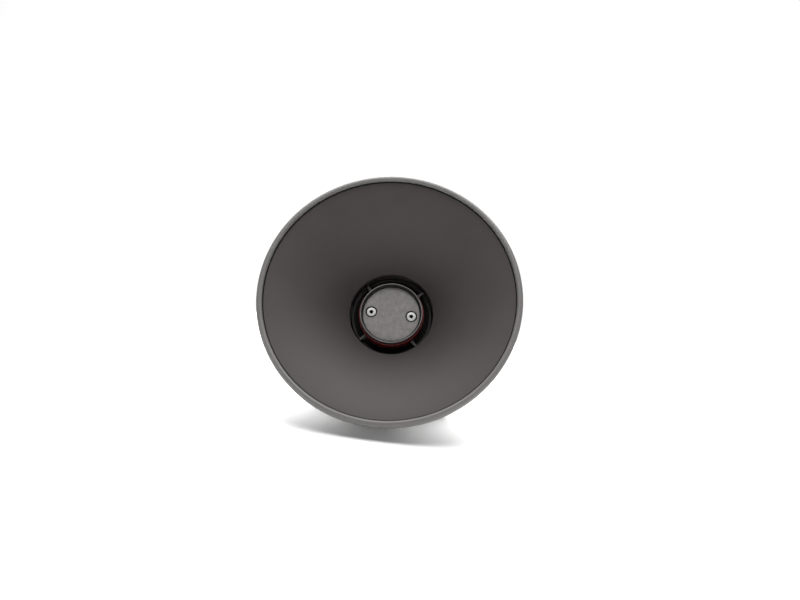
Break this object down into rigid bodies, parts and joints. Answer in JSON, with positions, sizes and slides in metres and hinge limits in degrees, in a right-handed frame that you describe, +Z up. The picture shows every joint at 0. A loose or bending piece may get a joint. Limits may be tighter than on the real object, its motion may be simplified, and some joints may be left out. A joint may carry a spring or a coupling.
{
  "type": "horn loudspeaker",
  "caption": "Flared horn loudspeaker with a folded throat, screwed centre cap and sealed driver housing, tilting on a U-bracket.",
  "frame": {"origin": "centre of the bracket's foot, on the face that bolts down", "axes": "+Z up from the foot to the tilt axis, +X along the tilt axis, the mouth faces -Y and is tilted up by 20 degrees"},
  "size_m": [0.2, 0.1883, 0.1974],
  "materials": {
    "bell_paint": "matte powder coat",
    "housing_paint": "fine textured powder coat",
    "trim_rubber": "smooth moulded edge trim",
    "spider_plastic": "moulded, dark",
    "sleeve_rubber": "dark red silicone",
    "cap_cast": "pebbled casting",
    "tube_aluminium": "turned",
    "steel": "stainless, brushed",
    "magnet_steel": "zinc plated plates",
    "ferrite": "sintered ferrite",
    "laminations": "varnished stack",
    "winding": "taped winding",
    "diaphragm_film": "phenolic film",
    "coil_copper": "enamelled wire",
    "gasket_rubber": "black",
    "moulding": "black moulding",
    "brass": "plain"
  },
  "bodies": {
    "bracket": {"u_bracket": "steel", "pivot_washers": "steel"},
    "head": {"horn_bell": "bell_paint", "driver_housing": "housing_paint", "rear_cover": "housing_paint", "rim_trim": "trim_rubber", "throat_spider": "spider_plastic", "centre_cup": "spider_plastic", "cup_sleeve": "sleeve_rubber", "face_cap": "cap_cast", "throat_tube": "tube_aluminium", "phase_plug": "tube_aluminium", "driver_front_plate": "tube_aluminium", "face_screws": "steel", "bell_screws": "steel", "cover_screws": "steel", "driver_screws": "steel", "core_screws": "steel", "earth_washer": "steel", "earth_screw": "steel", "serrated_discs": "steel", "pivot_bolts": "steel", "top_plate": "magnet_steel", "back_plate": "magnet_steel", "ring_magnet": "ferrite", "transformer_core": "laminations", "transformer_winding": "winding", "neck_gasket": "gasket_rubber", "cover_seal": "gasket_rubber", "shaft_seal": "gasket_rubber", "gland_seal": "gasket_rubber", "entry_washers": "gasket_rubber", "clamping_ring": "moulding", "terminal_block": "moulding", "selector_switch": "moulding", "blanking_plug": "moulding", "gland_body": "moulding", "gland_nut": "moulding", "terminal_screws": "brass"},
    "moving_coil": {"diaphragm": "diaphragm_film", "voice_coil": "coil_copper"},
    "selector": {"selector_knob": "moulding", "selector_shaft": "steel"}
  },
  "joints": [
    {"name": "tilt", "type": "hinge", "parent": "bracket", "child": "head", "pos_m": [0, 0, 0.071], "axis": [-1, 0, 0], "range_deg": [-50, 70]},
    {"name": "coil_travel", "type": "slide", "parent": "head", "child": "moving_coil", "axis": [0, -0.9397, 0.342], "range_m": [-0.0004, 0.0004], "stiffness_N_per_m": 2000},
    {"name": "selector_turn", "type": "hinge", "parent": "head", "child": "selector", "pos_m": [0, 0.04913, 0.0744], "axis": [0, 0.9397, -0.342], "range_deg": [-75, 75]}
  ]
}
